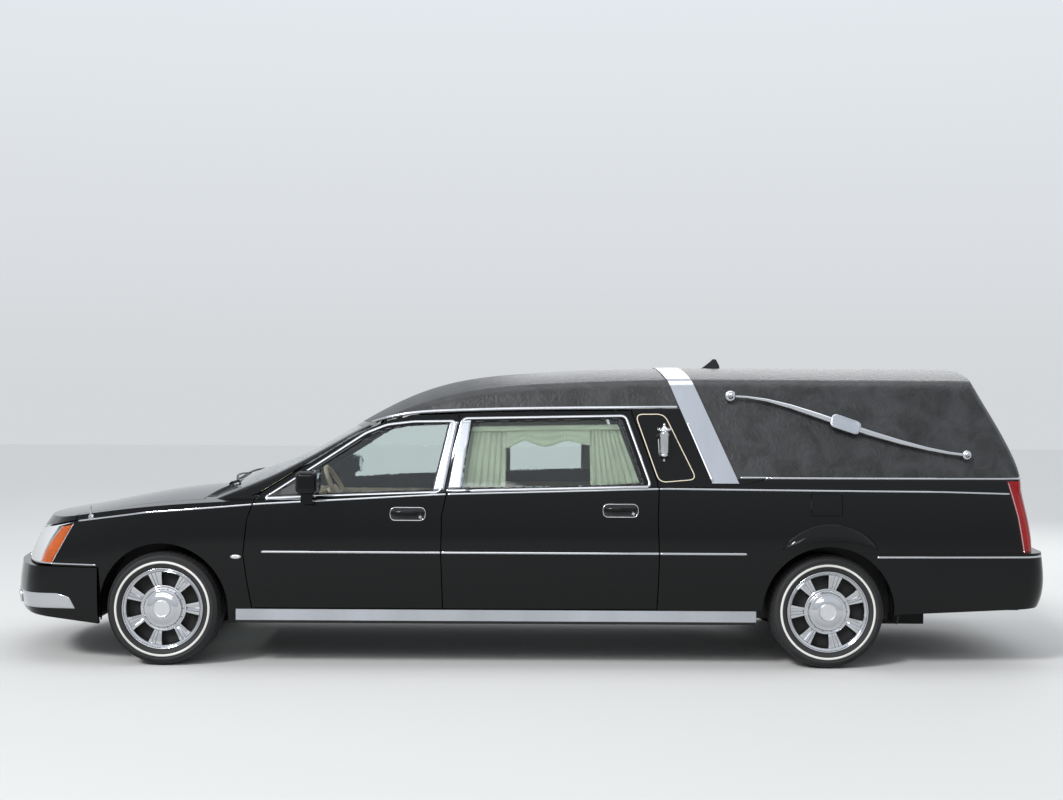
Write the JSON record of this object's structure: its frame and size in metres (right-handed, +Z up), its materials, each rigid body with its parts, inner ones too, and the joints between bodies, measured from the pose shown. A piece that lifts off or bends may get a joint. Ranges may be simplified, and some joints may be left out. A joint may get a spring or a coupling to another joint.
{
  "type": "hearse",
  "caption": "Long black funeral coach with vinyl roof, roof band, landau bars, side doors, rear loading door, lifting hood, steered front wheels and draped load space.",
  "frame": {"origin": "ground level at the middle of the length and width", "axes": "-X is forward, -Y is the left (driver's) side, +Z is up"},
  "size_m": [6.3597, 2.216, 1.842],
  "materials": {
    "paint_black": "gloss black paint",
    "vinyl": "black crinkle grain vinyl",
    "chrome": "polished",
    "glass": "clear, faint green",
    "tyre": "black with a thin white stripe",
    "lamp_clear": "clear lens",
    "lamp_red": "red lens",
    "drape": "pleated drape",
    "leather_tan": "tan leather",
    "trim_tan": "tan",
    "deck": "brushed",
    "iron": "dark",
    "black_plastic": "matte black"
  },
  "bodies": {
    "coach_body": {"antenna": "black_plastic", "casket_deck": "deck", "coach_lamps": "chrome", "dashboard": "trim_tan", "engine_block": "iron", "exhaust": "iron", "fender_left": "paint_black", "fender_right": "paint_black", "firewall": "paint_black", "floor_pan": "paint_black", "fog_lamps": "chrome", "front_bumper": "paint_black", "front_frame": "iron", "front_seats": "leather_tan", "fuel_cap": "black_plastic", "fuel_tank": "black_plastic", "grille": "chrome", "headlamps": "lamp_clear", "hinges_and_stops": "iron", "landau_bars": "chrome", "pillars": "black_plastic", "quarter_left": "paint_black", "quarter_right": "paint_black", "rear_axle": "iron", "rear_bumper": "paint_black", "rocker_trim": "chrome", "roof": "vinyl", "roof_band": "chrome", "steering_column": "trim_tan", "tail_lamps": "lamp_red", "wheel_tubs": "black_plastic", "windshield": "glass", "windshield_frame": "paint_black"},
    "hood": {"hood": "paint_black"},
    "front_door_left": {"front_door_left": "paint_black", "front_glass_left": "glass", "mirror_left": "paint_black"},
    "rear_door_left": {"rear_door_left": "paint_black", "rear_glass_left": "glass", "curtain_left": "drape"},
    "knuckle_left": {"knuckle_left": "iron"},
    "wheel_front_left": {"tyre_front_left": "tyre", "rim_front_left": "chrome"},
    "wheel_rear_left": {"tyre_rear_left": "tyre", "rim_rear_left": "chrome"},
    "front_door_right": {"front_door_right": "paint_black", "front_glass_right": "glass", "mirror_right": "paint_black"},
    "rear_door_right": {"rear_door_right": "paint_black", "rear_glass_right": "glass", "curtain_right": "drape"},
    "knuckle_right": {"knuckle_right": "iron"},
    "wheel_front_right": {"tyre_front_right": "tyre", "rim_front_right": "chrome"},
    "wheel_rear_right": {"tyre_rear_right": "tyre", "rim_rear_right": "chrome"},
    "load_door": {"load_door": "paint_black", "load_glass": "glass"},
    "fuel_door": {"fuel_door": "paint_black"},
    "steering_wheel": {"steering_wheel": "trim_tan"}
  },
  "joints": [
    {"name": "hood_hinge", "type": "hinge", "parent": "coach_body", "child": "hood", "pos_m": [-1.885, 0, 1.021], "axis": [0, 1, 0], "range_deg": [0, 55]},
    {"name": "front_door_hinge_left", "type": "hinge", "parent": "coach_body", "child": "front_door_left", "pos_m": [-1.6155, -0.9465, 0.66], "axis": [0, 0, -1], "range_deg": [0, 65]},
    {"name": "rear_door_hinge_left", "type": "hinge", "parent": "coach_body", "child": "rear_door_left", "pos_m": [-0.4585, -0.9465, 0.66], "axis": [0, 0, -1], "range_deg": [0, 65]},
    {"name": "steer_left", "type": "hinge", "parent": "coach_body", "child": "knuckle_left", "pos_m": [-2.1, -0.732, 0.336], "axis": [0, 0, 1], "range_deg": [-32, 32]},
    {"name": "spin_front_left", "type": "hinge", "parent": "knuckle_left", "child": "wheel_front_left", "pos_m": [-2.1, -0.792, 0.336], "axis": [0, 1, 0], "continuous": true},
    {"name": "spin_rear_left", "type": "hinge", "parent": "coach_body", "child": "wheel_rear_left", "pos_m": [1.82, -0.792, 0.336], "axis": [0, 1, 0], "continuous": true},
    {"name": "front_door_hinge_right", "type": "hinge", "parent": "coach_body", "child": "front_door_right", "pos_m": [-1.6155, 0.9465, 0.66], "axis": [0, 0, 1], "range_deg": [0, 65]},
    {"name": "rear_door_hinge_right", "type": "hinge", "parent": "coach_body", "child": "rear_door_right", "pos_m": [-0.4585, 0.9465, 0.66], "axis": [0, 0, 1], "range_deg": [0, 65]},
    {"name": "steer_right", "type": "hinge", "parent": "coach_body", "child": "knuckle_right", "pos_m": [-2.1, 0.732, 0.336], "axis": [0, 0, 1], "range_deg": [-32, 32]},
    {"name": "spin_front_right", "type": "hinge", "parent": "knuckle_right", "child": "wheel_front_right", "pos_m": [-2.1, 0.792, 0.336], "axis": [0, 1, 0], "continuous": true},
    {"name": "spin_rear_right", "type": "hinge", "parent": "coach_body", "child": "wheel_rear_right", "pos_m": [1.82, 0.792, 0.336], "axis": [0, 1, 0], "continuous": true},
    {"name": "load_door_hinge", "type": "hinge", "parent": "coach_body", "child": "load_door", "pos_m": [3.112, -0.6195, 0.9], "axis": [0, 0, -1], "range_deg": [0, 100]},
    {"name": "fuel_door_hinge", "type": "hinge", "parent": "coach_body", "child": "fuel_door", "pos_m": [1.7145, -0.9395, 0.966], "axis": [0, 0, -1], "range_deg": [0, 95]},
    {"name": "steering_wheel_turn", "type": "hinge", "parent": "coach_body", "child": "steering_wheel", "pos_m": [-1.128, -0.375, 0.985], "axis": [0.8829, 0, 0.4695], "range_deg": [-480, 480]}
  ],
  "couplings": [
    {"joint": "steer_right", "follows": "steer_left", "ratio": 1},
    {"joint": "steering_wheel_turn", "follows": "steer_left", "ratio": 15}
  ]
}
